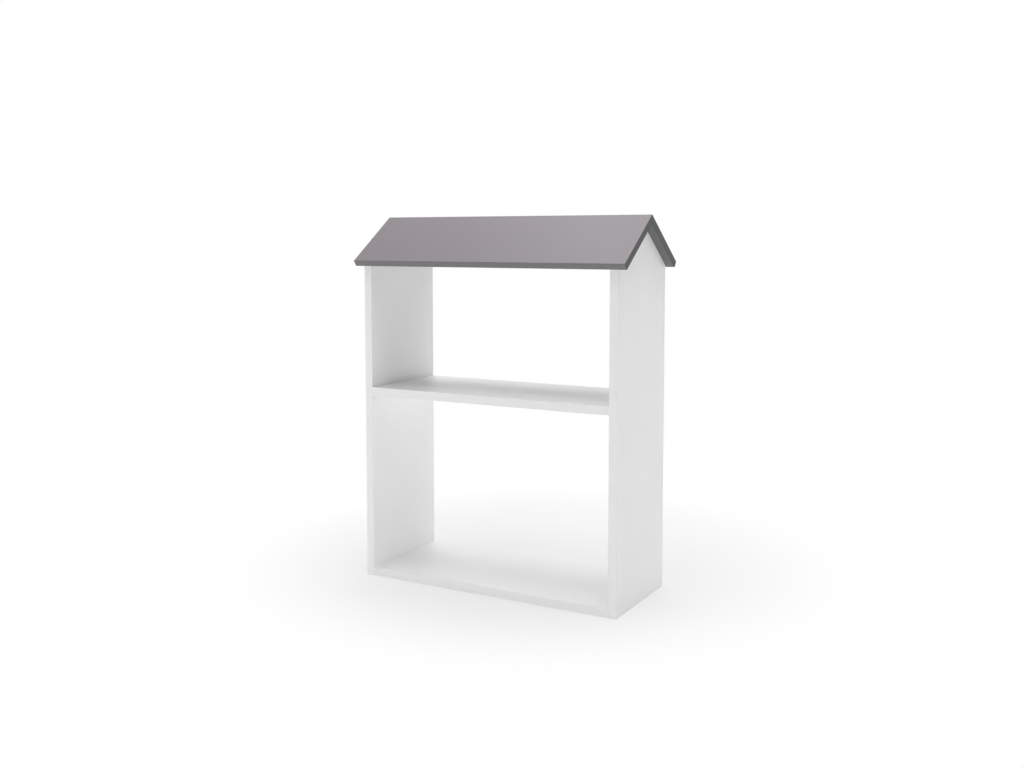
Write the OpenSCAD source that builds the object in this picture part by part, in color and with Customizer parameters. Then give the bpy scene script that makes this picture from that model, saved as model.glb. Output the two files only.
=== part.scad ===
// House shaped bookcase. Two gabled side panels carry two shelves and a pitched roof,
// and the front and the back are open. The boards are joined by cam fittings, whose
// bolts and dowels are hidden inside them, and the ridge is a mitre with a loose tongue.
// X runs across the width, Y from front to back and Z up.
// The origin is on the floor, at the middle of the footprint.

/* [Carcass] */
// Width across the outer faces of the side panels
body_w = 660; // [400:5:1000]
// Depth of the side panels and the shelves
body_d = 265; // [220:5:400]
// Height of the side panels at their front and back edges
wall_h = 753; // [560:1:1200]
// Height of the middle shelf's upper face above the floor
middle_shelf_h = 460; // [200:5:520]
// Thickness of the side panels and the shelves
board_t = 20; // [18:0.5:25]

/* [Roof] */
// Pitch of the two roof boards, in degrees
roof_pitch = 35.6; // [25:0.1:45]
// Thickness of the roof boards
roof_t = 16; // [15:0.5:22]
// How far the roof runs past the outer face of each side panel
roof_overhang = 21; // [5:1:60]
// How far the roof's underside runs past the side panels at each eave, along the slope
eave_overhang = 5.5; // [2:0.5:40]

/* [Edge bands] */
// Thickness of the plastic bands on the boards' visible edges
band_t = 1; // [0.5:0.1:2]
// Radius along the outer edges of the bands
band_r = 0.8; // [0.2:0.1:2]

/* [Places of the joints] */
// Distance from a shelf's front or back edge to its nearest cam joint
joint_inset = 50; // [30:1:60]
// Distance from a cam joint to the dowel beside it
dowel_step = 32; // [20:1:40]

/* [Cam fittings] */
// Distance from the end of a board to the middle of its cam
cam_reach = 34; // [24:1:40]
// Diameter of the hole that the cam turns in
cam_hole_d = 15; // [14:0.5:20]
// Distance from the cam's outer end down to the board's face
cam_set_back = 0.3; // [0.1:0.1:1]
// Metal left below the pocket in the cam
cam_floor_t = 0.9; // [0.5:0.1:1.2]
// Angle that the cam turns through from open to locked
cam_turn = 150; // [120:5:180]
// Length of each arm of the cross that a screwdriver turns
cross_l = 7; // [5:0.5:9]
// Width of the arms of the cross
cross_w = 1.4; // [1:0.1:2]
// Depth of the cross
cross_depth = 3; // [1.5:0.1:3.5]

/* [Connecting bolts] */
// Diameter of the thread that screws into the face of a board
thread_d = 5; // [4:0.1:6]
// Length of that thread
thread_l = 11; // [8:0.5:13]
// Diameter of the collar that stops against the face
collar_d = 7.5; // [6.5:0.1:7.6]
// Thickness of the collar
collar_t = 2; // [1:0.5:4]
// Diameter of the shank
shank_d = 6; // [5:0.1:7]
// Diameter of the neck that passes through the slot in the cam
neck_d = 4; // [3:0.1:5]
// Diameter of the head that the cam grips
bolt_head_d = 6.5; // [5.5:0.1:7]
// Thickness of the head
bolt_head_t = 3; // [2:0.1:3.4]
// Diameter of the bore along the board for the shank
bolt_bore_d = 8; // [8:0.1:10]

/* [Dowels] */
// Diameter of the dowels
dowel_d = 8; // [6:0.5:10]
// Length of the dowels
dowel_l = 30; // [25:1:40]
// Part of that length that goes into the face of a board
dowel_in_face = 11; // [8:0.5:13]
// Bevel round both ends of a dowel
dowel_bevel = 1; // [0.5:0.1:1.5]

/* [Cover caps] */
// How far a cap reaches past the cam's hole all round
cap_lip = 1; // [0.5:0.1:3]
// Thickness of a cap at its rim
cap_rim_t = 0.8; // [0.5:0.1:1.5]
// Further height of a cap at its crown
cap_crown = 0.6; // [0.2:0.1:1]
// Length of the cap's key that presses into the cross
cap_key_l = 2.2; // [1:0.1:2.5]

/* [Ridge tongue] */
// Width of the tongue across the ridge
tongue_w = 14; // [8:1:20]
// Thickness of the tongue
tongue_t = 3; // [2:0.5:4]
// Distance from each end of the roof to the end of the tongue's groove
tongue_stop = 30; // [15:1:80]
// Wood left under the tongue at the ridge
tongue_cover = 5.5; // [4:0.5:7]

/* [Fits] */
// Gap all round a dowel or a cam in its hole, and round a thread in its pilot hole
fit_gap = 0.05; // [0.02:0.01:0.1]
// Gap round the head and the neck of a bolt inside the cam
cam_gap = 0.3; // [0.2:0.05:0.5]
// Spare depth of a hole or a groove past the end of what goes into it
end_gap = 0.5; // [0.2:0.1:1]

/* [Hidden] */
$fn = 64;

white = [0.95, 0.95, 0.95];
white_edge = [0.9, 0.9, 0.91];
grey = [0.55, 0.53, 0.54];
grey_edge = [0.42, 0.4, 0.41];
beech = [0.83, 0.66, 0.45];
hardboard = [0.5, 0.36, 0.24];
steel = [0.7, 0.71, 0.73];
zinc = [0.62, 0.63, 0.64];

// How far a cut runs past the face that it leaves
past = 1;

// Places that follow from the carcass
half_d = body_d / 2;
outer_x = body_w / 2;
inner_x = outer_x - board_t;
side_mid_x = outer_x - board_t / 2;
apex_h = wall_h + half_d * tan(roof_pitch);
gable_slope = half_d / cos(roof_pitch);

// Places that follow from the roof
ridge_h = apex_h + roof_t / cos(roof_pitch);
mitre_run = roof_t * tan(roof_pitch);
roof_slope = gable_slope + eave_overhang + mitre_run;
roof_half_w = outer_x + roof_overhang;

// The round on a band can't be larger than the band is thick
round_r = min(band_r, band_t);

// The cam's pocket takes the bolt's head, whose rear face is gripped off the middle
pocket_half = bolt_head_d / 2 + cam_gap;
head_seat = cam_hole_d / 4 - cam_gap;
pocket_r = norm([head_seat, bolt_head_d / 2]) + cam_gap;
slot_half = neck_d / 2 + cam_gap;
slot_margin = asin(slot_half / pocket_r);
cam_r = cam_hole_d / 2 - fit_gap;
cam_top = board_t / 2 - cam_set_back;
cam_bottom = -pocket_half - cam_floor_t;
cap_r = cam_hole_d / 2 + cap_lip;

// Ends of the bolt's neck and head, from the face that the bolt screws into
head_from = cam_reach - head_seat;
neck_from = cam_reach - cam_hole_d / 2 - end_gap;

// Ridge groove, measured at the mitre
groove_z = apex_h + tongue_cover;
groove_half_l = roof_half_w - tongue_stop;

// Both shelves: the height of each middle plane
bottom_mid_z = board_t / 2;
middle_mid_z = middle_shelf_h - board_t / 2;

// Front and back places of the joints on a shelf end
cam_y = half_d - joint_inset;
dowel_y = cam_y - dowel_step;

// ---------------------------------------------------------------- joint frames
// In every joint's own frame X runs from the face of one board into the edge of the
// other, along the middle of its thickness, and Z points to the face where the cam
// is turned.

// A joint at the end of a shelf: side is -1 on the left and 1 on the right
module at_shelf_end(side, y, mid_z) {
    translate([side * inner_x, y, mid_z])
        rotate(side < 0 ? [180, 0, 0] : [0, 180, 0])
            children();
}

// The frame of one roof board, the front one for slope -1 and the back one for slope 1:
// X along the ridge, Y up the slope to the ridge line and Z square to the slope, with
// the board's upper face on z = 0 and its underside on z = -roof_t
module on_slope(slope) {
    rotate([0, 0, slope < 0 ? 0 : 180])
        translate([0, 0, ridge_h])
            rotate([roof_pitch, 0, 0])
                children();
}

// A joint on a gable's sloping edge, at a distance down the slope from the apex
module at_gable_edge(side, slope, along) {
    x_side = -slope * side;
    on_slope(slope)
        translate([x_side * side_mid_x, -mitre_run - along, -roof_t])
            rotate([0, 0, x_side < 0 ? 0 : 180])
                rotate([0, 90, 0])
                    children();
}

module at_shelf_cams(mid_z, sides = [-1, 1]) {
    for (side = sides, y = [-cam_y, cam_y])
        at_shelf_end(side, y, mid_z) children();
}

module at_shelf_dowels(mid_z, sides = [-1, 1]) {
    for (side = sides, y = [-dowel_y, dowel_y])
        at_shelf_end(side, y, mid_z) children();
}

module at_roof_cams(sides = [-1, 1], slopes = [-1, 1]) {
    for (side = sides, slope = slopes)
        at_gable_edge(side, slope, gable_slope / 2) children();
}

module at_roof_dowels(sides = [-1, 1], slopes = [-1, 1]) {
    for (side = sides, slope = slopes, step = [-dowel_step, dowel_step])
        at_gable_edge(side, slope, gable_slope / 2 + step) children();
}

// ---------------------------------------------------------------- fittings

// Turns a profile of [place along X, radius] points round the X axis
module lathe(points) {
    rotate([0, 90, 0])
        rotate_extrude()
            polygon([for (p = points) [p[1], p[0]]]);
}

module rod(x0, x1, d) {
    translate([x0, 0, 0])
        rotate([0, 90, 0])
            cylinder(h = x1 - x0, d = d);
}

// Connecting bolt: thread with a bevelled tip, collar, shank, neck and head
module bolt() {
    tip = thread_d / 5;
    neck_r = neck_d / 2;
    shank_r = shank_d / 2;
    head_end = head_from + bolt_head_t;
    lathe([
        [-thread_l, 0], [-thread_l, thread_d / 2 - tip], [-thread_l + tip, thread_d / 2],
        [0, thread_d / 2], [0, collar_d / 2], [collar_t, collar_d / 2],
        [collar_t, shank_r], [neck_from - (shank_r - neck_r), shank_r],
        [neck_from, neck_r], [head_from, neck_r], [head_from, bolt_head_d / 2],
        [head_end - tip / 2, bolt_head_d / 2], [head_end, bolt_head_d / 2 - tip / 2],
        [head_end, 0]
    ]);
}

// Dowel with bevelled ends
module dowel() {
    r = dowel_d / 2;
    x0 = -dowel_in_face;
    x1 = dowel_l - dowel_in_face;
    lathe([
        [x0, 0], [x0, r - dowel_bevel], [x0 + dowel_bevel, r],
        [x1 - dowel_bevel, r], [x1, r - dowel_bevel], [x1, 0]
    ]);
}

// Cross of a given arm length and width, from z0 up to z1
module cross(l, w, z0, z1) {
    for (turn = [45, 135])
        rotate([0, 0, turn])
            translate([-l / 2, -w / 2, z0])
                cube([l, w, z1 - z0]);
}

// Cam, drawn locked: the bolt's neck lies in the slot and its head in the pocket,
// behind the rim. The head entered by the wide mouth at the slot's other end.
module cam() {
    translate([cam_reach, 0, 0])
        difference() {
            translate([0, 0, cam_bottom])
                cylinder(h = cam_top - cam_bottom, r = cam_r);
            translate([0, 0, -pocket_half])
                cylinder(h = 2 * pocket_half, r = pocket_r);
            rotate([0, 0, 180 - slot_margin])
                rotate_extrude(angle = slot_margin + cam_turn)
                    translate([0, -slot_half])
                        square([cam_r + past, 2 * slot_half]);
            rotate([0, 0, 180 + cam_turn])
                rod(0, cam_r + past, 2 * pocket_half);
            cross(cross_l, cross_w, cam_top - cross_depth, cam_top + past);
        }
}

// Cover cap: a low dome on the face of the board, with a key in the cam's cross
module cap() {
    face = board_t / 2;
    crown = cap_rim_t + cap_crown;
    dome_r = (cap_r * cap_r + cap_crown * cap_crown) / (2 * cap_crown);
    translate([cam_reach, 0, 0]) {
        translate([0, 0, face])
            rotate_extrude()
                intersection() {
                    square([cap_r, crown]);
                    translate([0, crown - dome_r])
                        circle(r = dome_r, $fn = 720);
                }
        cross(cross_l - 2 * fit_gap, cross_w - 2 * fit_gap, cam_top - cap_key_l, face);
    }
}

// ---------------------------------------------------------------- holes

// Holes in the face of a board, which a joint's X axis leaves
module bolt_pilot() {
    rod(-thread_l - end_gap, past, thread_d + 2 * fit_gap);
}

module dowel_face_hole() {
    rod(-dowel_in_face, past, dowel_d + 2 * fit_gap);
}

// Holes in the edge of a board, which a joint's X axis enters
module dowel_edge_hole() {
    rod(-past, dowel_l - dowel_in_face + end_gap, dowel_d + 2 * fit_gap);
}

module cam_holes() {
    rod(-past, cam_reach, bolt_bore_d);
    translate([cam_reach, 0, cam_bottom])
        cylinder(h = board_t / 2 + past - cam_bottom, d = cam_hole_d);
}

// ---------------------------------------------------------------- bands

// Cross section of a band: its glued face lies on x = 0, its outer face on
// x = -band_t, and its width runs up Y. Both outer edges are rounded.
module band_section(width) {
    difference() {
        translate([-band_t, 0])
            square([band_t, width]);
        for (end = [0, 1])
            translate([round_r - band_t, end * width])
                mirror([0, end])
                    translate([0, round_r])
                        difference() {
                            translate([-round_r - past, -round_r - past])
                                square(round_r + past);
                            circle(r = round_r);
                        }
    }
}

// Upright band, on the front edge of a side panel
module upright_band(x0, height) {
    translate([x0 + board_t, band_t - half_d, 0])
        rotate([0, 0, 90])
            linear_extrude(height)
                band_section(board_t);
}

// Level band along X, in the local frame of the edge that it covers
module level_band(half_l, width) {
    translate([-half_l, 0, 0])
        rotate([90, 0, 90])
            linear_extrude(2 * half_l)
                band_section(width);
}

// ---------------------------------------------------------------- side panels

// Five sided board, less a margin at front and back. Its top is cut along the underside
// of each roof board, so that the roof lies flat on both slopes.
module gable_board(x0, margin) {
    difference() {
        translate([x0, margin - half_d, 0])
            cube([board_t, body_d - 2 * margin, ridge_h]);
        for (slope = [-1, 1])
            on_slope(slope)
                translate([-outer_x - past, -body_d, -roof_t])
                    cube([2 * (outer_x + past), 2 * body_d, 2 * ridge_h]);
    }
}

module side_panel(side) {
    x0 = side < 0 ? -outer_x : inner_x;
    difference() {
        gable_board(x0, band_t);
        for (mid_z = [bottom_mid_z, middle_mid_z]) {
            at_shelf_cams(mid_z, [side]) bolt_pilot();
            at_shelf_dowels(mid_z, [side]) dowel_face_hole();
        }
        at_roof_cams([side]) cam_holes();
        at_roof_dowels([side]) dowel_edge_hole();
    }
}

// Front and back bands, trimmed to the gable's slope
module side_bands(side) {
    x0 = side < 0 ? -outer_x : inner_x;
    for (back = [0, 1])
        mirror([0, back, 0])
            intersection() {
                upright_band(x0, apex_h);
                gable_board(x0, 0);
            }
}

// ---------------------------------------------------------------- shelves

module shelf(mid_z) {
    y = half_d - band_t;
    difference() {
        translate([-inner_x, -y, mid_z - board_t / 2])
            cube([2 * inner_x, 2 * y, board_t]);
        at_shelf_cams(mid_z) cam_holes();
        at_shelf_dowels(mid_z) dowel_edge_hole();
    }
}

module shelf_bands(mid_z) {
    for (back = [0, 1])
        mirror([0, back, 0])
            translate([0, band_t - half_d, mid_z - board_t / 2])
                level_band(inner_x, board_t);
}

// ---------------------------------------------------------------- roof

// Slice of the front roof board from x0 to x1, less a margin at the eave. Its upper end
// is cut upright, so that two boards meet in a mitre.
module roof_slice(x0, x1, margin) {
    foot = margin - roof_slope;
    on_slope(-1)
        translate([x0, 0, 0])
            rotate([90, 0, 90])
                linear_extrude(x1 - x0)
                    polygon([[0, 0], [foot, 0], [foot, -roof_t], [-mitre_run, -roof_t]]);
}

module ridge_groove() {
    half_w = tongue_w / 2 + end_gap;
    translate([-groove_half_l, -half_w, groove_z])
        cube([2 * groove_half_l, 2 * half_w, tongue_t + 2 * fit_gap]);
}

module front_roof_board() {
    difference() {
        roof_slice(band_t - roof_half_w, roof_half_w - band_t, band_t);
        at_roof_cams(slopes = [-1]) bolt_pilot();
        at_roof_dowels(slopes = [-1]) dowel_face_hole();
        ridge_groove();
    }
}

// The eave band runs between the two end bands
module front_eave_band() {
    on_slope(-1)
        translate([0, band_t - roof_slope, -roof_t])
            level_band(roof_half_w - band_t, roof_t);
}

// The end bands cover the whole end of the board, from the eave to the mitre
module front_end_bands() {
    for (side = [0, 1])
        mirror([side, 0, 0])
            intersection() {
                roof_slice(-roof_half_w, band_t - roof_half_w, 0);
                on_slope(-1)
                    translate([band_t - roof_half_w, 0, -roof_t])
                        rotate([90, 0, 0])
                            linear_extrude(roof_slope)
                                band_section(roof_t);
            }
}

// ---------------------------------------------------------------- sub-parts

module left_side_panel() { color(white) side_panel(-1); }

module right_side_panel() { color(white) side_panel(1); }

module bottom_shelf() { color(white) shelf(bottom_mid_z); }

module middle_shelf() { color(white) shelf(middle_mid_z); }

module front_roof_panel() { color(grey) front_roof_board(); }

// Both roof boards are the same board, turned round
module back_roof_panel() { color(grey) rotate([0, 0, 180]) front_roof_board(); }

module ridge_tongue() {
    half_l = groove_half_l - end_gap;
    color(hardboard)
        translate([-half_l, -tongue_w / 2, groove_z])
            cube([2 * half_l, tongue_w, tongue_t]);
}

module left_side_edge_bands() { color(white_edge) side_bands(-1); }

module right_side_edge_bands() { color(white_edge) side_bands(1); }

module bottom_shelf_edge_bands() { color(white_edge) shelf_bands(bottom_mid_z); }

module middle_shelf_edge_bands() { color(white_edge) shelf_bands(middle_mid_z); }

module front_roof_eave_band() { color(grey_edge) front_eave_band(); }

module back_roof_eave_band() { color(grey_edge) rotate([0, 0, 180]) front_eave_band(); }

module front_roof_end_bands() { color(grey_edge) front_end_bands(); }

module back_roof_end_bands() { color(grey_edge) rotate([0, 0, 180]) front_end_bands(); }

module bottom_shelf_dowels() { color(beech) at_shelf_dowels(bottom_mid_z) dowel(); }

module middle_shelf_dowels() { color(beech) at_shelf_dowels(middle_mid_z) dowel(); }

module roof_dowels() { color(beech) at_roof_dowels() dowel(); }

module bottom_shelf_bolts() { color(steel) at_shelf_cams(bottom_mid_z) bolt(); }

module middle_shelf_bolts() { color(steel) at_shelf_cams(middle_mid_z) bolt(); }

module roof_bolts() { color(steel) at_roof_cams() bolt(); }

module bottom_shelf_cams() { color(zinc) at_shelf_cams(bottom_mid_z) cam(); }

module middle_shelf_cams() { color(zinc) at_shelf_cams(middle_mid_z) cam(); }

module roof_cams() { color(zinc) at_roof_cams() cam(); }

module middle_shelf_cam_caps() { color(white) at_shelf_cams(middle_mid_z) cap(); }

module roof_cam_caps() { color(white) at_roof_cams() cap(); }

left_side_panel();
right_side_panel();
bottom_shelf();
middle_shelf();
front_roof_panel();
back_roof_panel();
ridge_tongue();
left_side_edge_bands();
right_side_edge_bands();
bottom_shelf_edge_bands();
middle_shelf_edge_bands();
front_roof_eave_band();
back_roof_eave_band();
front_roof_end_bands();
back_roof_end_bands();
bottom_shelf_dowels();
middle_shelf_dowels();
roof_dowels();
bottom_shelf_bolts();
middle_shelf_bolts();
roof_bolts();
bottom_shelf_cams();
middle_shelf_cams();
roof_cams();
middle_shelf_cam_caps();
roof_cam_caps();
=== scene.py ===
# %% [markdown]
# # House shaped bookcase
#
# This lesson dresses a finished construction model. Two gabled side panels carry two
# shelves and a pitched roof, all of melamine faced chipboard. The boards, their edge
# bands, the cams and the caps come from the construction model and keep their shape,
# so most of the work is in their finishes. Only the dowels and the bolts are made anew,
# because the model has them plain and the real ones are fluted and threaded.

# %% Load the construction model
import math

import bpy
import numpy as np
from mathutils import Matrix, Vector


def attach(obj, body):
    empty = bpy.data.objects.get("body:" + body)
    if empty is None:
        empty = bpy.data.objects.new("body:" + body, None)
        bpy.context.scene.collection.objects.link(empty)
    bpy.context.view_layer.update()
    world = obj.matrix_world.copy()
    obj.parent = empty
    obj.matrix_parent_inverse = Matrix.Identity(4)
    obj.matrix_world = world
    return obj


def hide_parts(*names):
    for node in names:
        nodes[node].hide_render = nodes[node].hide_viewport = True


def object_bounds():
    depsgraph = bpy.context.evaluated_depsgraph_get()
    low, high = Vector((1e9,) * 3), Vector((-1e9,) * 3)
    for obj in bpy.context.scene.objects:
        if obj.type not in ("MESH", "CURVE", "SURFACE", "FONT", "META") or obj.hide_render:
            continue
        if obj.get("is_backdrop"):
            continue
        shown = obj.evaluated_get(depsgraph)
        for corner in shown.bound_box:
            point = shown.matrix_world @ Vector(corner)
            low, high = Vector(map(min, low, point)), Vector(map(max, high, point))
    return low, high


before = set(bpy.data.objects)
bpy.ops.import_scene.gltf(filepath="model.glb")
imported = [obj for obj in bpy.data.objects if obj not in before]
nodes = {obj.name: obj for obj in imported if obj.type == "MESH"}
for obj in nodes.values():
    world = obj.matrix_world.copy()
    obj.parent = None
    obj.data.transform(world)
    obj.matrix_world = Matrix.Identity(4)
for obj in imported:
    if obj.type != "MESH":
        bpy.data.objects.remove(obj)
cad_low, cad_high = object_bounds()
MM = 0.001

print("pieces of the construction:", len(nodes))
print("size in mm:", [round(side / MM, 1) for side in cad_high - cad_low])

# %% [markdown]
# ## The camera
#
# The camera stands to the right of the bookcase at about the height of the eaves, and
# it looks almost level. Its place and its lens were worked out from the corners of the
# boards. A view camera would keep the uprights parallel by moving its lens down behind a
# level camera. Part of that is done with the lens shift, and the rest with a small tilt,
# because the same shift also serves the views from other sides. The Standard view
# transform shows a colour as it is written.

# %% Place the camera
PICTURE_W = 1024
FOCAL_PX = 1100.75
LENS_DROP_PX = 60
CAMERA_PLACE = (1.26594, -2.25101, 0.81493)
CAMERA_TURN = math.radians(29.364)
CAMERA_TILT = math.radians(4.432)
CLIP_END = 100.0


def add_camera():
    data = bpy.data.cameras.new("camera")
    data.lens = data.sensor_width * FOCAL_PX / PICTURE_W
    data.shift_y = -LENS_DROP_PX / PICTURE_W
    data.clip_end = CLIP_END
    camera = bpy.data.objects.new("camera", data)
    camera.location = CAMERA_PLACE
    camera.rotation_euler = (math.pi / 2 - CAMERA_TILT, 0, CAMERA_TURN)
    bpy.context.scene.collection.objects.link(camera)
    bpy.context.scene.camera = camera
    return camera


camera = add_camera()
bpy.context.scene.view_settings.view_transform = "Standard"
print("lens in mm:", round(camera.data.lens, 2))

# %% [markdown]
# ## Writing a finish as sums
#
# A finish is a tree of nodes. Written out node by node it is long and hard to read, so
# one small class holds an output socket and turns + - * / on it into Math nodes. A
# second class owns the tree, and its one method adds any other node: first the node's
# settings, then the values or links of its sockets. Geometry Nodes use the same two
# classes further down.


# %% A socket that can be added and multiplied
class Wire:
    """An output socket. Arithmetic on it adds Math nodes to its tree."""

    def __init__(self, tree, socket):
        self.tree = tree
        self.socket = socket

    def math(self, operation, *values):
        numbered = dict(enumerate(values))
        return self.tree.add("ShaderNodeMath", {"operation": operation}, numbered)

    def __add__(self, other):
        return self.math("ADD", self, other)

    def __radd__(self, other):
        return self.math("ADD", other, self)

    def __sub__(self, other):
        return self.math("SUBTRACT", self, other)

    def __rsub__(self, other):
        return self.math("SUBTRACT", other, self)

    def __mul__(self, other):
        return self.math("MULTIPLY", self, other)

    def __rmul__(self, other):
        return self.math("MULTIPLY", other, self)

    def __truediv__(self, other):
        return self.math("DIVIDE", self, other)

    def __rtruediv__(self, other):
        return self.math("DIVIDE", other, self)

    def __abs__(self):
        return self.math("ABSOLUTE", self)

    def lower_of(self, other):
        return self.math("MINIMUM", self, other)

    def higher_of(self, other):
        return self.math("MAXIMUM", self, other)


# %% A tree that adds nodes
class Tree:
    """A node tree that is filled by add()."""

    def __init__(self, node_tree):
        self.node_tree = node_tree
        node_tree.nodes.clear()

    def add(self, kind, settings=None, inputs=None, output=0):
        node = self.node_tree.nodes.new(kind)
        for name, value in (settings or {}).items():
            setattr(node, name, value)
        for name, value in (inputs or {}).items():
            socket = self.pick(node.inputs, name)
            if isinstance(value, Wire):
                self.node_tree.links.new(value.socket, socket)
            else:
                socket.default_value = value
        if not len(node.outputs):
            return None
        return Wire(self, self.pick(node.outputs, output))

    @staticmethod
    def pick(sockets, name):
        if isinstance(name, int):
            return sockets[name]
        return next(s for s in sockets if s.name == name and s.enabled)


# %% Places and patterns
def place_of(tree):
    """The point on the piece, in metres."""
    return tree.add("ShaderNodeTexCoord", output="Object")


def place_along(tree, point, direction):
    """How far a point lies along a direction."""
    settings = {"operation": "DOT_PRODUCT"}
    inputs = {0: point, 1: tuple(direction)}
    return tree.add("ShaderNodeVectorMath", settings, inputs, "Value")


def drawn_out(tree, point, direction, times):
    """The point for a pattern that is drawn out a number of times along a direction."""
    surplus = place_along(tree, point, direction) * (1 / times - 1)
    inputs = {0: tuple(direction), "Scale": surplus}
    shift = tree.add("ShaderNodeVectorMath", {"operation": "SCALE"}, inputs)
    return tree.add("ShaderNodeVectorMath", {"operation": "ADD"}, {0: point, 1: shift})


def noise(tree, point, size, detail=2.0):
    """Soft noise whose blots are about size metres across, from 0 to 1."""
    inputs = {"Vector": point, "Scale": 1 / size, "Detail": detail}
    return tree.add("ShaderNodeTexNoise", None, inputs)


def ramp_up(tree, value, start, end):
    """0 below start, 1 above end, and even in between."""
    inputs = {"Value": value, "From Min": start, "From Max": end}
    return tree.add("ShaderNodeMapRange", None, inputs)


def bump(tree, height):
    """A normal from a height in metres."""
    return tree.add("ShaderNodeBump", None, {"Height": height, "Distance": 1.0}, "Normal")


# %% Colours
def shade(colour, factor):
    """A colour made lighter or darker, as plain numbers."""
    return tuple(channel * factor for channel in colour)


def mix_colour(tree, factor, first, second):
    """From the first colour to the second as the factor goes from 0 to 1."""
    inputs = {"Factor": factor}
    for name, colour in (("A", first), ("B", second)):
        inputs[name] = colour if isinstance(colour, Wire) else (*colour, 1)
    return tree.add("ShaderNodeMix", {"data_type": "RGBA"}, inputs, "Result")


def varied(tree, factor, colour, darkest, lightest):
    """From a darker to a lighter tone of one colour as the factor goes from 0 to 1."""
    return mix_colour(tree, factor, shade(colour, darkest), shade(colour, lightest))


# %% Start a finish, close it, and put it on a piece
def new_finish(name):
    material = bpy.data.materials.new(name)
    material.use_nodes = True
    return material, Tree(material.node_tree)


def close_finish(tree, constants, varying):
    """Adds the shader. Constants stay on its sockets, and only what varies is linked."""
    surface = tree.add("ShaderNodeBsdfPrincipled", None, {**constants, **varying})
    tree.add("ShaderNodeOutputMaterial", None, {"Surface": surface})


def dress(node, material):
    """Gives a piece of the construction its finish."""
    slots = nodes[node].data.materials
    slots.clear()
    slots.append(material)


print("a finish is written with", Wire.__name__, "and", Tree.__name__)

# %% [markdown]
# ## Where a board's faces and edges are
#
# Melamine is a printed paper skin on both faces of a chipboard, so a board is white or
# grey on its two large faces and shows brown chips wherever it is cut. A thin plastic
# band hides the cut on the visible edges. The finish has to know where the faces and
# the banded edges are. They could be typed in as numbers, but then a change of the
# construction would leave the finish behind, so they are measured on the board's mesh.

# %% Measure a board
NORMAL_DIGITS = 2


def face_direction(node):
    """The direction that the largest part of a board's surface faces."""
    sums = {}
    for face in nodes[node].data.polygons:
        key = tuple(round(part, NORMAL_DIGITS) for part in face.normal)
        sums[key] = sums.get(key, Vector()) + face.normal * face.area
    return max(sums.values(), key=lambda total: total.length).normalized()


def reach(node, direction):
    """The lowest and the highest place of a piece along a direction."""
    places = [vertex.co.dot(direction) for vertex in nodes[node].data.vertices]
    return min(places), max(places)


def banded_edges(node):
    """Directions that point at the edges of a board that carry a band."""
    if "roof" not in node:
        return [Vector((0, -1, 0)), Vector((0, 1, 0))]
    facing = face_direction(node)
    level = Vector((facing.x, facing.y, 0))
    eave = (level - facing * level.dot(facing)).normalized()
    return [eave, Vector((-1, 0, 0)), Vector((1, 0, 0))]


BOARDS = [name for name in nodes if name.endswith(("_panel", "_shelf"))]
for board in BOARDS:
    facing = face_direction(board)
    low, high = reach(board, facing)
    thickness = round((high - low) / MM, 2)
    print(board, "is", thickness, "mm thick and faces", [round(part, 3) for part in facing])

# %% [markdown]
# ## Melamine faced chipboard
#
# The paper skin is matt with a very fine pearl, less than a millimetre across, which
# takes the mirror out of its reflections. Its colour is nearly even. The roof boards get
# a plainer, darker grey on the face that looks inwards, and that is painted shade: both
# faces carry the same paper, and the inner one lies in shade under the roof. Under the
# skin lies the core of pressed chips. One finish holds both: the depth under the nearest
# large face tells skin from core, so a drilled hole or a sawn edge shows chips without a
# second material. A thin dark line next to a banded edge is the glue that squeezes out there.

# %% Colours and sizes of the boards
WHITE = (0.82, 0.82, 0.82)
GREY = (0.200, 0.180, 0.194)
# Painted shade: the inward face of a roof board gets this darker, plainer grey because it lies
# under the roof, not because its paper differs.
ROOF_UNDERSIDE_SHADE_GREY = (0.152, 0.152, 0.157)
SKIN_T = 0.25 * MM
SKIN_ROUGH = 0.38
SKIN_GLOSS = 0.25
CLOUD_W = 90 * MM
FLECK_W = 1.6 * MM
FLECK_SHARE = 0.4
FLECK_SHADE = 0.96
SMUDGE_W = 70 * MM
PEARL_W = 0.8 * MM
PEARL_H = 0.012 * MM
CHIP_PALE = (0.52, 0.36, 0.21)
CHIP_DARK = (0.22, 0.13, 0.07)
CHIP_W = 2.2 * MM
CHIP_H = 0.4 * MM
CHIP_ROUGH = 0.9
CHIP_TONE = (0.4, 0.3, 0.3)
GLUE_W = 0.15 * MM
GLUE_SHARE = 0.45
GLUE_SHADE = 0.4
PLASTIC_IOR = 1.5
print("skin and glue line in mm:", SKIN_T / MM, round(GLUE_W / MM, 2))


# %% Masks of a board
def core_mask(tree, point, node):
    """1 on cut surfaces and 0 on the two faces of a board."""
    facing = face_direction(node)
    low, high = reach(node, facing)
    across = place_along(tree, point, facing)
    depth = abs(across - low).lower_of(abs(high - across))
    return ramp_up(tree, depth, SKIN_T / 2, SKIN_T)


def glue_mask(tree, point, node):
    """1 on the thin line where a face meets the band on its edge."""
    gaps = []
    for direction in banded_edges(node):
        gaps.append(reach(node, direction)[1] - place_along(tree, point, direction))
    nearest = gaps[0]
    for gap in gaps[1:]:
        nearest = nearest.lower_of(gap)
    return 1 - ramp_up(tree, nearest, GLUE_W / 2, GLUE_W)


def outer_mask(tree, point, node):
    """1 on the face of a board that looks outwards, and 0 on the other face."""
    facing = face_direction(node)
    low, high = reach(node, facing)
    return ramp_up(tree, place_along(tree, point, facing), low, high)


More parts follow.
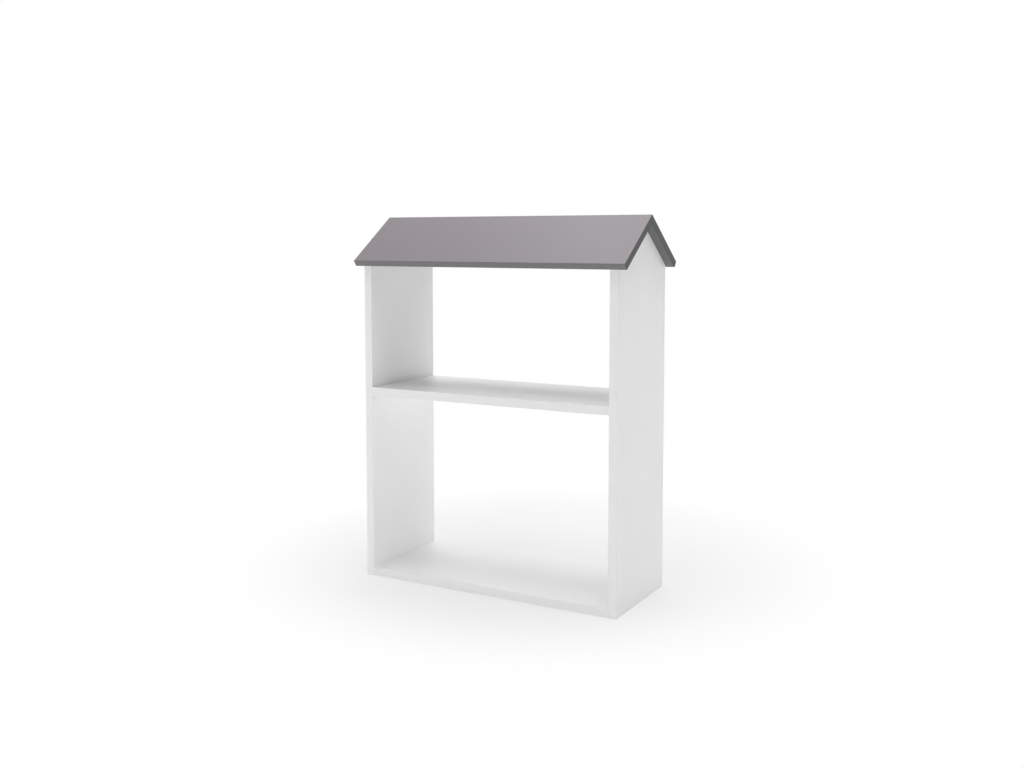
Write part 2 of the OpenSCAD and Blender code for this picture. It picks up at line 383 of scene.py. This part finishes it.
# %% Colours of a board
def skin_colour(tree, point, colour):
    """Nearly even colour: wide faint clouds and the fine fleck of the printed paper."""
    clouds = noise(tree, point, CLOUD_W, detail=3.0)
    fleck = noise(tree, point, FLECK_W, detail=1.0)
    cloudy = varied(tree, clouds, colour, darkest=0.985, lightest=1.015)
    return mix_colour(tree, fleck * FLECK_SHARE, cloudy, shade(colour, FLECK_SHADE))


def chip_colour(tree, point):
    """Pressed wood chips, each with a tone of its own."""
    inputs = {"Vector": point, "Scale": 1 / CHIP_W}
    chips = tree.add("ShaderNodeTexVoronoi", None, inputs, "Color")
    tone = place_along(tree, chips, CHIP_TONE)
    return mix_colour(tree, tone, CHIP_DARK, CHIP_PALE)


# %% Dress the boards
def board_finish(node, colour):
    """Melamine on the faces of one board, and chips where it is cut."""
    material, tree = new_finish(node + "_finish")
    point = place_of(tree)
    core = core_mask(tree, point, node)
    glue = glue_mask(tree, point, node)
    skin = skin_colour(tree, point, colour)
    # The inward face of a roof board is painted darker here, as painted shade under the roof.
    if "roof" in node:
        painted_shade_skin = skin_colour(tree, point, ROOF_UNDERSIDE_SHADE_GREY)
        skin = mix_colour(tree, outer_mask(tree, point, node), painted_shade_skin, skin)
    skin = mix_colour(tree, glue * GLUE_SHARE, skin, shade(colour, GLUE_SHADE))
    smudges = noise(tree, point, SMUDGE_W, detail=4.0)
    pearl = noise(tree, point, PEARL_W, detail=1.0) * PEARL_H
    chips = noise(tree, point, CHIP_W, detail=3.0) * CHIP_H
    skin_rough = SKIN_ROUGH + smudges * 0.08
    varying = {
        "Base Color": mix_colour(tree, core, skin, chip_colour(tree, point)),
        "Roughness": skin_rough * (1 - core) + core * CHIP_ROUGH,
        "Normal": bump(tree, pearl * (1 - core) + chips * core),
    }
    constants = {"IOR": PLASTIC_IOR, "Specular IOR Level": SKIN_GLOSS}
    close_finish(tree, constants, varying)
    return material


for board in BOARDS:
    dress(board, board_finish(board, GREY if "roof" in board else WHITE))
print("boards dressed:", len(BOARDS))

# %% [markdown]
# ## Edge bands
#
# The bands are extruded plastic, plainer than the boards, with very fine lines along
# their length. On the roof the eaves have a grey close to the boards. The bands on the
# sloping ends are painted much darker than the eaves, as painted shade, because they face
# sideways and get little light. The lines are noise that is drawn out eighty times along
# the run of the band. An image would need an unwrapped strip for each of them, and the
# drawn out noise follows any direction, also the slope of the roof.

# %% Dress the bands
EAVE_GREY = (0.186, 0.178, 0.189)
# Painted shade: the end bands are darker than the eave bands only because they face sideways
# into little light.
END_BAND_SHADE_GREY = (0.098, 0.096, 0.099)
BAND_ROUGH = 0.32
BAND_GLOSS = 0.05
BAND_SMUDGE_W = 40 * MM
LINE_W = 0.5 * MM
LINE_H = 0.008 * MM
LINE_STRETCH = 80


def run_of(node):
    """The direction along which a band runs."""
    if "end_bands" in node:
        return banded_edges(node.replace("end_bands", "panel"))[0]
    return Vector((0, 0, 1)) if "side" in node else Vector((1, 0, 0))


def band_colour(node):
    # The end bands get the darker grey, which is painted shade on the sides of the roof.
    if "end_bands" in node:
        return END_BAND_SHADE_GREY
    return EAVE_GREY if "eave" in node else WHITE


def band_finish(node):
    """Extruded plastic with fine lines along the band."""
    material, tree = new_finish(node + "_finish")
    point = place_of(tree)
    along = drawn_out(tree, point, run_of(node), LINE_STRETCH)
    lines = noise(tree, along, LINE_W)
    smudges = noise(tree, point, BAND_SMUDGE_W, detail=3.0)
    varying = {
        "Base Color": varied(tree, lines, band_colour(node), darkest=0.98, lightest=1.02),
        "Roughness": BAND_ROUGH + smudges * 0.08 + lines * 0.04,
        "Normal": bump(tree, lines * LINE_H),
    }
    constants = {"IOR": PLASTIC_IOR, "Specular IOR Level": BAND_GLOSS}
    close_finish(tree, constants, varying)
    return material


BANDS = [name for name in nodes if name.endswith(("_bands", "_band"))]
for band in BANDS:
    dress(band, band_finish(band))
print("bands dressed:", len(BANDS))

# %% [markdown]
# ## Cams, caps and the ridge tongue
#
# The cams are cast in zinc alloy. The mould leaves them dull grey with a fine grain, and
# the screwdriver polishes nothing, because it turns them only once. The caps are moulded
# in plastic and have an even satin skin. The tongue in the ridge is hardboard, made of
# felted fibres that lie flat in all directions.

# %% Cast zinc
ZINC = (0.50, 0.51, 0.52)
ZINC_ROUGH = 0.38
ZINC_CLOUD_W = 3 * MM
ZINC_GRAIN_W = 0.4 * MM
ZINC_GRAIN_H = 0.03 * MM


def zinc_finish():
    """Cast metal: soft clouds of oxide over a grain of under half a millimetre."""
    material, tree = new_finish("cast_zinc")
    point = place_of(tree)
    clouds = noise(tree, point, ZINC_CLOUD_W, detail=3.0)
    grain = noise(tree, point, ZINC_GRAIN_W)
    varying = {
        "Base Color": varied(tree, clouds, ZINC, darkest=0.85, lightest=1.15),
        "Roughness": ZINC_ROUGH + clouds * 0.12 + grain * 0.08,
        "Normal": bump(tree, grain * ZINC_GRAIN_H),
    }
    close_finish(tree, {"Metallic": 1.0}, varying)
    return material


# %% Moulded plastic
CAP_WHITE = (0.84, 0.84, 0.83)
CAP_ROUGH = 0.26
CAP_IOR = 1.49
CAP_CLOUD_W = 8 * MM
CAP_GRAIN_W = 0.25 * MM
CAP_GRAIN_H = 0.006 * MM


def cap_finish():
    """Moulded plastic with a spark eroded skin."""
    material, tree = new_finish("moulded_plastic")
    point = place_of(tree)
    grain = noise(tree, point, CAP_GRAIN_W, detail=1.0)
    clouds = noise(tree, point, CAP_CLOUD_W)
    varying = {
        "Base Color": varied(tree, clouds, CAP_WHITE, darkest=0.98, lightest=1.02),
        "Roughness": CAP_ROUGH + grain * 0.06 + clouds * 0.05,
        "Normal": bump(tree, grain * CAP_GRAIN_H),
    }
    close_finish(tree, {"IOR": CAP_IOR}, varying)
    return material


# %% Hardboard
FIBRE_PALE = (0.36, 0.23, 0.13)
FIBRE_DARK = (0.17, 0.10, 0.055)
FIBRE_ROUGH = 0.55
FIBRE_W = 0.3 * MM
FIBRE_H = 0.05 * MM
FIBRE_STRETCH = 12
WOOD_IOR = 1.45


def hardboard_finish():
    """Felted fibres: two layers of drawn out noise that cross each other."""
    material, tree = new_finish("hardboard")
    point = place_of(tree)
    layers = []
    for slant in (Vector((1, 1, 0)), Vector((1, -1, 0))):
        along = drawn_out(tree, point, slant.normalized(), FIBRE_STRETCH)
        layers.append(noise(tree, along, FIBRE_W))
    felt = layers[0].higher_of(layers[1])
    varying = {
        "Base Color": mix_colour(tree, felt, FIBRE_DARK, FIBRE_PALE),
        "Roughness": FIBRE_ROUGH + felt * 0.25,
        "Normal": bump(tree, felt * FIBRE_H),
    }
    close_finish(tree, {"IOR": WOOD_IOR}, varying)
    return material


# %% Dress the small pieces
small_pieces = {
    zinc_finish(): ["bottom_shelf_cams", "middle_shelf_cams", "roof_cams"],
    cap_finish(): ["middle_shelf_cam_caps", "roof_cam_caps"],
    hardboard_finish(): ["ridge_tongue"],
}
for material, wearers in small_pieces.items():
    for node in wearers:
        dress(node, material)
    print(material.name, "is on", len(wearers), "nodes")

# %% [markdown]
# ## Finding the dowels and the bolts
#
# A node of the construction holds all the dowels or bolts of one board as separate
# solids. To put a detailed one in each place, the script needs the place and the
# direction of every solid, and the outline that it was turned to. All three are in the
# mesh: joined triangles belong to one solid, its longest direction is the axis, and the
# distance of its points from that axis is the outline. So no size is typed twice.

# %% Split a node into its solids
MICRON_DIGITS = 6


def solids_of(node):
    """The points of each separate solid in a node."""
    mesh = nodes[node].data
    keys = [tuple(round(part, MICRON_DIGITS) for part in vertex.co) for vertex in mesh.vertices]
    number = {key: index for index, key in enumerate(dict.fromkeys(keys))}
    group = list(range(len(number)))

    def root(index):
        while group[index] != index:
            group[index] = group[group[index]]
            index = group[index]
        return index

    for face in mesh.polygons:
        first, *others = [root(number[keys[index]]) for index in face.vertices]
        for other in others:
            group[root(other)] = root(first)
    solids = {}
    for key, index in number.items():
        solids.setdefault(root(index), []).append(key)
    return [np.array(points) for points in solids.values()]


# %% Measure a turned solid
OUTLINE_DIGITS = 5


def joint_of(points):
    """Where a turned solid begins and which way it runs, from its outer end inwards."""
    middle = points.mean(axis=0)
    run = np.linalg.eigh(np.cov((points - middle).T))[1][:, -1]
    heart = np.array((cad_low + cad_high) / 2)
    if run @ (heart - middle) < 0:
        run = -run
    along = (points - middle) @ run
    return middle + run * along.min(), run


def outline_of(points):
    """The outline of a turned solid: pairs of place along the axis and radius."""
    start, run = joint_of(points)
    along = (points - start) @ run
    radius = np.linalg.norm(points - start - np.outer(along, run), axis=1)
    pairs = zip(along.round(OUTLINE_DIGITS).tolist(), radius.round(OUTLINE_DIGITS).tolist())
    rings = sorted(set(pairs))
    outline = [rings.pop(0)]
    while rings:
        nearest = min(rings, key=lambda ring: (ring[0], abs(ring[1] - outline[-1][1])))
        rings.remove(nearest)
        outline.append(nearest)
    return outline


for node in ("middle_shelf_dowels", "middle_shelf_bolts"):
    solids = solids_of(node)
    outline = [(round(a / MM, 2), round(r / MM, 2)) for a, r in outline_of(solids[0])]
    print(node, "has", len(solids), "solids with the outline", outline)

# %% [markdown]
# ## Fluted dowels and threaded bolts
#
# A dowel has straight grooves that let air and glue out of its hole, and a bolt has one
# groove that climbs round it as a thread. Both are a turned outline with grooves pressed
# into it, so one node tree makes both. It sweeps a circle along the outline, presses the
# grooves in where they belong, and puts a copy at every joint. The groove's phase is
# the angle times the number of grooves plus the length times the turns per metre, so a
# dowel has turns 0 and a bolt has grooves 1. Modelling one by hand and copying it would
# look the same, but the tree keeps its sizes open as named inputs.

# %% The inputs of the tree
INPUTS = {
    "Outline": "NodeSocketGeometry",
    "Joints": "NodeSocketObject",
    "Sides": "NodeSocketInt",
    "Grooves": "NodeSocketFloat",
    "Turns per metre": "NodeSocketFloat",
    "Depth": "NodeSocketFloat",
    "Sharpness": "NodeSocketFloat",
    "Start": "NodeSocketFloat",
    "End": "NodeSocketFloat",
    "Run-out": "NodeSocketFloat",
    "Finish": "NodeSocketMaterial",
}
print("inputs of the tree:", ", ".join(INPUTS))


def named_attribute(tree, name, kind):
    settings = {"data_type": kind}
    return tree.add("GeometryNodeInputNamedAttribute", settings, {"Name": name}, "Attribute")


def stored(tree, geometry, name, kind, domain, value):
    settings = {"data_type": kind, "domain": domain}
    inputs = {"Geometry": geometry, "Name": name, "Value": value}
    return tree.add("GeometryNodeStoreNamedAttribute", settings, inputs)


# %% Sweep the outline
def swept_outline(tree, given):
    """A closed solid of revolution about X, with its own place stored for the grain."""
    curve = tree.add("GeometryNodeMeshToCurve", None, {"Mesh": given("Outline")})
    inputs = {"Resolution": given("Sides"), "Radius": 1.0}
    circle = tree.add("GeometryNodeCurvePrimitiveCircle", None, inputs)
    radius = named_attribute(tree, "radius", "FLOAT")
    inputs = {"Curve": curve, "Profile Curve": circle, "Scale": radius, "Fill Caps": True}
    solid = tree.add("GeometryNodeCurveToMesh", None, inputs)
    place = tree.add("GeometryNodeInputPosition")
    return stored(tree, solid, "grain_place", "FLOAT_VECTOR", "POINT", place)


# %% Press the grooves in
LEAST_RADIUS = 1 * MM


def grooved(tree, given, solid):
    """Moves each point towards the axis by the depth of the groove there."""
    place = tree.add("GeometryNodeInputPosition")
    axes = tree.add("ShaderNodeSeparateXYZ", None, {"Vector": place}, "X")
    along, y, z = (Wire(tree, socket) for socket in axes.socket.node.outputs)
    angle = z.math("ARCTAN2", z, y)
    phase = angle * given("Grooves") + along * given("Turns per metre") * math.tau
    wave = 0.5 + 0.5 * phase.math("COSINE", phase)
    cut = wave.math("POWER", wave, given("Sharpness")) * given("Depth")
    begun = (along - given("Start")) / given("Run-out")
    left = (given("End") - along) / given("Run-out")
    inside = begun.lower_of(left).lower_of(1.0).higher_of(0.0)
    across = tree.add("ShaderNodeCombineXYZ", None, {"Y": y, "Z": z})
    radius = tree.add("ShaderNodeVectorMath", {"operation": "LENGTH"}, {0: across}, "Value")
    share = cut * inside / radius.higher_of(LEAST_RADIUS) * -1.0
    inputs = {0: across, "Scale": share}
    offset = tree.add("ShaderNodeVectorMath", {"operation": "SCALE"}, inputs)
    return tree.add("GeometryNodeSetPosition", None, {"Geometry": solid, "Offset": offset})


# %% Shade it smooth
CREASE = math.radians(32)


def smooth_but_creased(tree, solid):
    """Smooth shading, apart from the edges that bend sharply."""
    edge_angle = tree.add("GeometryNodeInputMeshEdgeAngle", output="Unsigned Angle")
    is_sharp = edge_angle.math("GREATER_THAN", edge_angle, CREASE)
    soft = tree.add("GeometryNodeSetShadeSmooth", {"domain": "FACE"}, {"Geometry": solid})
    inputs = {"Geometry": soft, "Selection": is_sharp, "Shade Smooth": False}
    return tree.add("GeometryNodeSetShadeSmooth", {"domain": "EDGE"}, inputs)


# %% Put one at every joint
TONE_SEED = 7


def set_at_joints(tree, given, solid):
    """A copy at every joint, each with a tone of its own, as one mesh with its finish."""
    inputs = {"Object": given("Joints")}
    points = tree.add("GeometryNodeObjectInfo", None, inputs, "Geometry")
    run = named_attribute(tree, "run", "FLOAT_VECTOR")
    turn = tree.add("FunctionNodeAlignRotationToVector", {"axis": "X"}, {"Vector": run})
    inputs = {"Points": points, "Instance": solid, "Rotation": turn}
    copies = tree.add("GeometryNodeInstanceOnPoints", None, inputs)
    inputs = {"Min": 0.0, "Max": 1.0, "Seed": TONE_SEED}
    tone = tree.add("FunctionNodeRandomValue", {"data_type": "FLOAT"}, inputs, "Value")
    copies = stored(tree, copies, "tone", "FLOAT", "INSTANCE", tone)
    merged = tree.add("GeometryNodeRealizeInstances", None, {"Geometry": copies})
    inputs = {"Geometry": merged, "Material": given("Finish")}
    return tree.add("GeometryNodeSetMaterial", None, inputs)


# %% Build the tree
def grooved_rod_tree():
    group = bpy.data.node_groups.new("grooved_rods", "GeometryNodeTree")
    tree = Tree(group)
    for name, kind in INPUTS.items():
        group.interface.new_socket(name, in_out="INPUT", socket_type=kind)
    group.interface.new_socket("Rods", in_out="OUTPUT", socket_type="NodeSocketGeometry")
    source = tree.add("NodeGroupInput").socket.node

    def given(name):
        return Wire(tree, source.outputs[name])

    solid = grooved(tree, given, swept_outline(tree, given))
    rods = set_at_joints(tree, given, smooth_but_creased(tree, solid))
    tree.add("NodeGroupOutput", None, {"Rods": rods})
    return group


rod_tree = grooved_rod_tree()
print("nodes in the tree of the rods:", len(rod_tree.nodes))

# %% [markdown]
# ### What the tree is given
#
# The tree needs two small helpers. One is the outline as a chain of edges, with the
# radius as an attribute of its points, and with more rings where a thread has to turn.
# The other has one point for each joint, with the direction in which the rod runs.
# Neither is part of the bookcase: the first turns into the rods, and the second is
# removed when they are made.

# %% Outline and joints as meshes
HAIR = 0.001 * MM


def close_rings(outline, start, end, step):
    """The outline with more rings between start and end, so that a thread can turn."""
    rings = [outline[0]]
    for (x0, r0), (x1, r1) in zip(outline, outline[1:]):
        count = max(1, math.ceil((min(x1, end) - max(x0, start)) / step))
        for index in range(1, count + 1):
            share = index / count
            rings.append((x0 + (x1 - x0) * share, r0 + (r1 - r0) * share))
    return rings


def linked_object(name, points, edges):
    mesh = bpy.data.meshes.new(name)
    mesh.from_pydata(points, edges, [])
    piece = bpy.data.objects.new(name, mesh)
    bpy.context.scene.collection.objects.link(piece)
    return piece


def outline_object(name, rings):
    """A chain of edges along X, each point with its radius. Steps lean by a hair."""
    points = [(along + index * HAIR, 0, 0) for index, (along, radius) in enumerate(rings)]
    edges = [(index, index + 1) for index in range(len(rings) - 1)]
    piece = linked_object(name, points, edges)
    radii = piece.data.attributes.new("radius", "FLOAT", "POINT")
    radii.data.foreach_set("value", [radius for along, radius in rings])
    return piece


def joints_object(name, solids):
    """One point for each solid, with the direction that it runs in."""
    joints = [joint_of(points) for points in solids]
    piece = linked_object(name, [tuple(start) for start, run in joints], [])
    runs = piece.data.attributes.new("run", "FLOAT_VECTOR", "POINT")
    runs.data.foreach_set("vector", np.concatenate([run for start, run in joints]))
    return piece


# %% Turn a node into detailed rods
def set_input(modifier, name, value):
    items = modifier.node_group.interface.items_tree
    item = next(item for item in items if item.name == name)
    modifier[item.identifier] = value


def make_rods(name, node, sizes, ring_step):
    """Builds the rods that stand for a node, and returns them as one plain mesh."""
    solids = solids_of(node)
    rings = close_rings(outline_of(solids[0]), sizes["Start"], sizes["End"], ring_step)
    piece = outline_object(name, rings)
    joints = joints_object(name + "_joints", solids)
    modifier = piece.modifiers.new("rods", "NODES")
    modifier.node_group = rod_tree
    for key, value in {**sizes, "Joints": joints}.items():
        set_input(modifier, key, value)
    depsgraph = bpy.context.evaluated_depsgraph_get()
    finished = bpy.data.meshes.new_from_object(piece.evaluated_get(depsgraph))
    piece.modifiers.clear()
    piece.data = finished
    bpy.data.objects.remove(joints)
    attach(piece, "root")
    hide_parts(node)
    print(name, "has", len(solids), "rods and", len(finished.polygons), "faces")
    return piece


# %% [markdown]
# ### Beech and zinc plate
#
# Beech shows short dark flecks along its grain. The tree stored the place of every point
# before it turned the rods, so the grain follows each dowel whichever way it lies. The
# bolts are steel with a thin layer of bright zinc, which leaves faint clouds over the
# fine rings from turning.

# %% What the tree stored
ROD_RUN = (1, 0, 0)


def stored_place(tree):
    settings = {"attribute_name": "grain_place"}
    return tree.add("ShaderNodeAttribute", settings, None, "Vector")


def stored_tone(tree):
    return tree.add("ShaderNodeAttribute", {"attribute_name": "tone"}, None, "Fac")


# %% Beech
BEECH = (0.62, 0.42, 0.24)
BEECH_ROUGH = 0.5
BEECH_GRAIN_W = 0.7 * MM
BEECH_GRAIN_H = 0.06 * MM
BEECH_GRAIN_STRETCH = 14
BEECH_FLECK_W = 0.25 * MM
BEECH_FLECK_STRETCH = 5
BEECH_FLECK_SHADE = 0.55
GRAIN_SHARE = 0.35


def beech_finish():
    """Wood with a fine grain and short dark flecks, each dowel in a tone of its own."""
    material, tree = new_finish("fluted_beech")
    point = stored_place(tree)
    along = drawn_out(tree, point, ROD_RUN, BEECH_GRAIN_STRETCH)
    grain = noise(tree, along, BEECH_GRAIN_W, detail=3.0)
    along = drawn_out(tree, point, ROD_RUN, BEECH_FLECK_STRETCH)
    fleck = noise(tree, along, BEECH_FLECK_W, detail=1.0)
    flecks = ramp_up(tree, fleck, start=0.58, end=0.68)
    tone = GRAIN_SHARE * grain + (1 - GRAIN_SHARE) * stored_tone(tree)
    wood = varied(tree, tone, BEECH, darkest=0.86, lightest=1.1)
    dark = shade(BEECH, BEECH_FLECK_SHADE)
    varying = {
        "Base Color": mix_colour(tree, flecks * 0.5, wood, dark),
        "Roughness": BEECH_ROUGH + grain * 0.2,
        "Normal": bump(tree, grain * BEECH_GRAIN_H),
    }
    close_finish(tree, {"IOR": WOOD_IOR}, varying)
    return material


# %% Zinc plated steel
STEEL = (0.62, 0.63, 0.66)
STEEL_ROUGH = 0.22
STEEL_CLOUD_W = 4 * MM
STEEL_RING_H = 0.008 * MM
STEEL_RING_STRETCH = 0.05


def steel_finish():
    """Bright plate with faint clouds, over rings squeezed close along the bolt."""
    material, tree = new_finish("zinc_plated_steel")
    point = stored_place(tree)
    clouds = noise(tree, point, STEEL_CLOUD_W, detail=3.0)
    squeezed = drawn_out(tree, point, ROD_RUN, STEEL_RING_STRETCH)
    rings = noise(tree, squeezed, STEEL_CLOUD_W, detail=1.0)
    varying = {
        "Base Color": varied(tree, clouds, STEEL, darkest=0.88, lightest=1.08),
        "Roughness": STEEL_ROUGH + clouds * 0.1 + stored_tone(tree) * 0.04,
        "Normal": bump(tree, rings * STEEL_RING_H),
    }
    close_finish(tree, {"Metallic": 1.0}, varying)
    return material


# %% [markdown]
# ### Dowels and bolts in their places
#
# A dowel has two dozen shallow flutes along its whole length. A connecting bolt has a
# coarse thread for chipboard where it enters the panel, and its collar, shank and head
# stay smooth. A thread turns, so it needs ten rings to each of its turns. A straight
# flute needs no ring beyond those of the outline.

# %% Make the dowels
JOINED_BOARDS = ("bottom_shelf", "middle_shelf", "roof")
PAST_END = 1.0
dowel_sizes = {
    "Sides": 96,
    "Grooves": 24.0,
    "Turns per metre": 0.0,
    "Depth": 0.3 * MM,
    "Sharpness": 2.0,
    "Start": 0.0,
    "End": PAST_END,
    "Run-out": 0.1 * MM,
    "Finish": beech_finish(),
}
for board in JOINED_BOARDS:
    name = board + "_fluted_dowels"
    dowels = make_rods(name, board + "_dowels", dowel_sizes, ring_step=PAST_END)

# %% Make the bolts
THREAD_L = 11 * MM
THREAD_PITCH = 1.8 * MM
RING_STEP = THREAD_PITCH / 10
bolt_sizes = {
    "Sides": 32,
    "Grooves": 1.0,
    "Turns per metre": 1 / THREAD_PITCH,
    "Depth": 0.7 * MM,
    "Sharpness": 0.6,
    "Start": 0.3 * MM,
    "End": THREAD_L,
    "Run-out": 0.8 * MM,
    "Finish": steel_finish(),
}
for board in JOINED_BOARDS:
    name = board + "_threaded_bolts"
    bolts = make_rods(name, board + "_bolts", bolt_sizes, ring_step=RING_STEP)

# %% [markdown]
# ## The floor and the backdrop
#
# The bookcase stands on a wide pale floor that runs into a white backdrop. In a studio
# the far floor is simply lit until it is white. Here more light would wash out the
# boards, so what the camera and the reflections see of the floor is blended with a plain
# tone. Near the bookcase that tone is a pale grey, a painted shadow that darkens the floor
# round the bookcase and a little behind it, and the blend leaves enough of the lit floor
# for its real shadow to show through. Further out it turns to plain white, and the floor
# fades into the backdrop. The light itself meets the lit floor alone, so the boards get
# its true light from below.

# %% Lay the floor
FLOOR_GREY = (0.95, 0.95, 0.95)
FLOOR_GRAIN_W = 2 * MM
FLOOR_HALF = 12.0
FLOOR_DROP = 0.2 * MM


def floor_mesh():
    mesh = bpy.data.meshes.new("floor")
    size = FLOOR_HALF
    square = [(-size, -size), (size, -size), (size, size), (-size, size)]
    mesh.from_pydata([(x, y, -FLOOR_DROP) for x, y in square], [], [(0, 1, 2, 3)])
    return mesh


floor = bpy.data.objects.new("floor", floor_mesh())
bpy.context.scene.collection.objects.link(floor)
floor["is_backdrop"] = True
print("the floor is", 2 * FLOOR_HALF, "m wide")

# %% Blend the floor into the backdrop
SHADOW_MIDDLE = (-0.04, 0.21, 0)
SHADOW_INNER = 0.21
SHADOW_OUTER = 0.82
BLEND_NEAR = 0.64
# Painted shadow: the grey that the camera sees on the floor near the bookcase, on top of the
# shadow that the lamps cast.
PAINTED_SHADOW_GREY = (0.79, 0.79, 0.79)
PAPER_FAR = (1.0, 1.0, 1.0)


def sees_backdrop(tree):
    """1 for rays from the camera and for rays in gloss and glass, and 0 for light."""
    path = tree.add("ShaderNodeLightPath", output="Is Camera Ray")
    rays = path.socket.node.outputs
    glossy = Wire(tree, rays["Is Glossy Ray"])
    through = Wire(tree, rays["Is Transmission Ray"])
    return path.higher_of(glossy).higher_of(through)


def far_mask(tree, point):
    """0 near the bookcase and 1 beyond its shadow, with a soft step between them."""
    inputs = {0: point, 1: SHADOW_MIDDLE}
    distance = tree.add("ShaderNodeVectorMath", {"operation": "DISTANCE"}, inputs, "Value")
    settings = {"interpolation_type": "SMOOTHSTEP"}
    inputs = {"Value": distance, "From Min": SHADOW_INNER, "From Max": SHADOW_OUTER}
    return tree.add("ShaderNodeMapRange", settings, inputs)


def floor_finish():
    """The lit floor, blended with a painted shadow of grey near the bookcase that turns to
    white further out.
    """
    material, tree = new_finish("floor_paper")
    point = place_of(tree)
    far = far_mask(tree, point)
    grain = noise(tree, point, FLOOR_GRAIN_W)
    colour = varied(tree, grain, FLOOR_GREY, darkest=0.99, lightest=1.01)
    paper = tree.add("ShaderNodeBsdfDiffuse", None, {"Color": colour})
    # The plain tone is a painted shadow of grey near the bookcase and plain white further out.
    inputs = {"Color": mix_colour(tree, far, PAINTED_SHADOW_GREY, PAPER_FAR), "Strength": 1.0}
    plain = tree.add("ShaderNodeEmission", None, inputs)
    blend = (BLEND_NEAR + far * (1 - BLEND_NEAR)) * sees_backdrop(tree)
    inputs = {0: blend, 1: paper, 2: plain}
    surface = tree.add("ShaderNodeMixShader", None, inputs)
    tree.add("ShaderNodeOutputMaterial", None, {"Surface": surface})
    return material


floor.data.materials.append(floor_finish())
print("the shadow fades", SHADOW_INNER, "to", SHADOW_OUTER, "m from its middle")

# %% [markdown]
# ## The light
#
# A white studio lights the bookcase softly from all round. Its ceiling is the upper part
# of the world, so it has no edge that could show in a reflection. Three lamps hang
# overhead: one straight above, which makes the roof lighter than the edge of the eave
# below it, one further back, and one at the back left. A fourth stands behind. The last
# three are wide and low and stand at the corners, so they light the uprights and leave
# the middle of each shelf in soft shade. The floor throws light back up under the shelf
# and the roof.
#
# A board that is seen at a shallow angle mirrors a lamp as a white patch. So only two of
# the lamps are seen in gloss: the one straight above, for the soft gradient of the roof,
# and the one at the back left, for the sheen on the middle shelf. The camera sees the
# world as plain white.

# %% Light the room
CEILING_LIGHT = 0.74
WALL_LIGHT = 0.02
CEILING_FROM = 0.68
CEILING_FULL = 0.85


def background(tree, strength):
    inputs = {"Color": (1, 1, 1, 1), "Strength": strength}
    return tree.add("ShaderNodeBackground", None, inputs)


def light_room():
    """A dim room with a bright ceiling, and plain white for what the camera sees."""
    world = bpy.data.worlds.new("white_room")
    bpy.context.scene.world = world
    world.use_nodes = True
    tree = Tree(world.node_tree)
    direction = tree.add("ShaderNodeTexCoord", output="Generated")
    upward = place_along(tree, direction, (0, 0, 1))
    is_ceiling = ramp_up(tree, upward, CEILING_FROM, CEILING_FULL)
    walls = background(tree, WALL_LIGHT)
    ceiling = background(tree, CEILING_LIGHT)
    room = tree.add("ShaderNodeMixShader", None, {0: is_ceiling, 1: walls, 2: ceiling})
    inputs = {0: sees_backdrop(tree), 1: room, 2: background(tree, 1.0)}
    surface = tree.add("ShaderNodeMixShader", None, inputs)
    tree.add("ShaderNodeOutputWorld", None, {"Surface": surface})


light_room()
print("ceiling and walls:", CEILING_LIGHT, WALL_LIGHT)

# %% Hang the lamps
HEART = Vector((0, 0, 0.43))
# Each lamp has its place and its width and height in metres, and its power in watts.
LAMPS = {
    "overhead": ((0, 0, 2.8), (2.0, 2.0), 48),
    "overhead_behind": ((0, 1.5, 2.6), (1.6, 1.6), 17),
    "overhead_left": ((-1.8, 2.4, 2.4), (1.8, 1.8), 17),
    "behind": ((0, 3.0, 1.0), (1.8, 1.8), 11),
    "behind_right": ((2.2, 2.2, 0.42), (2.2, 0.7), 21),
    "front_left": ((-2.2, -2.2, 0.42), (2.2, 0.7), 31),
    "front_right": ((2.2, -2.2, 0.42), (2.2, 0.7), 24),
}
GLOSSY_LAMPS = ("overhead", "overhead_left")


def add_soft_lamp(name, place, size, power):
    """A flat lamp that faces the bookcase."""
    data = bpy.data.lights.new(name, "AREA")
    data.shape = "RECTANGLE"
    data.size, data.size_y = size
    data.energy = power
    lamp = bpy.data.objects.new(name, data)
    lamp.location = place
    lamp.rotation_euler = (Vector(place) - HEART).to_track_quat("Z", "Y").to_euler()
    lamp.visible_glossy = name in GLOSSY_LAMPS
    bpy.context.scene.collection.objects.link(lamp)


for name, (place, size, power) in LAMPS.items():
    add_soft_lamp(name, place, size, power)
print("lamps:", ", ".join(LAMPS))

# %% [markdown]
# ## The sizes
#
# The sizes of the construction and of the dressed bookcase are set side by side.
# They have to agree, because finishes and rods that stay inside their holes change
# nothing of the outside.

# %% Put the sizes side by side and finish
low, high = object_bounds()
sizes = {
    "cad_box": [list(cad_low), list(cad_high)],
    "visual_box": [list(low), list(high)],
}
print("dressed size in mm:", [round(side / MM, 1) for side in high - low])
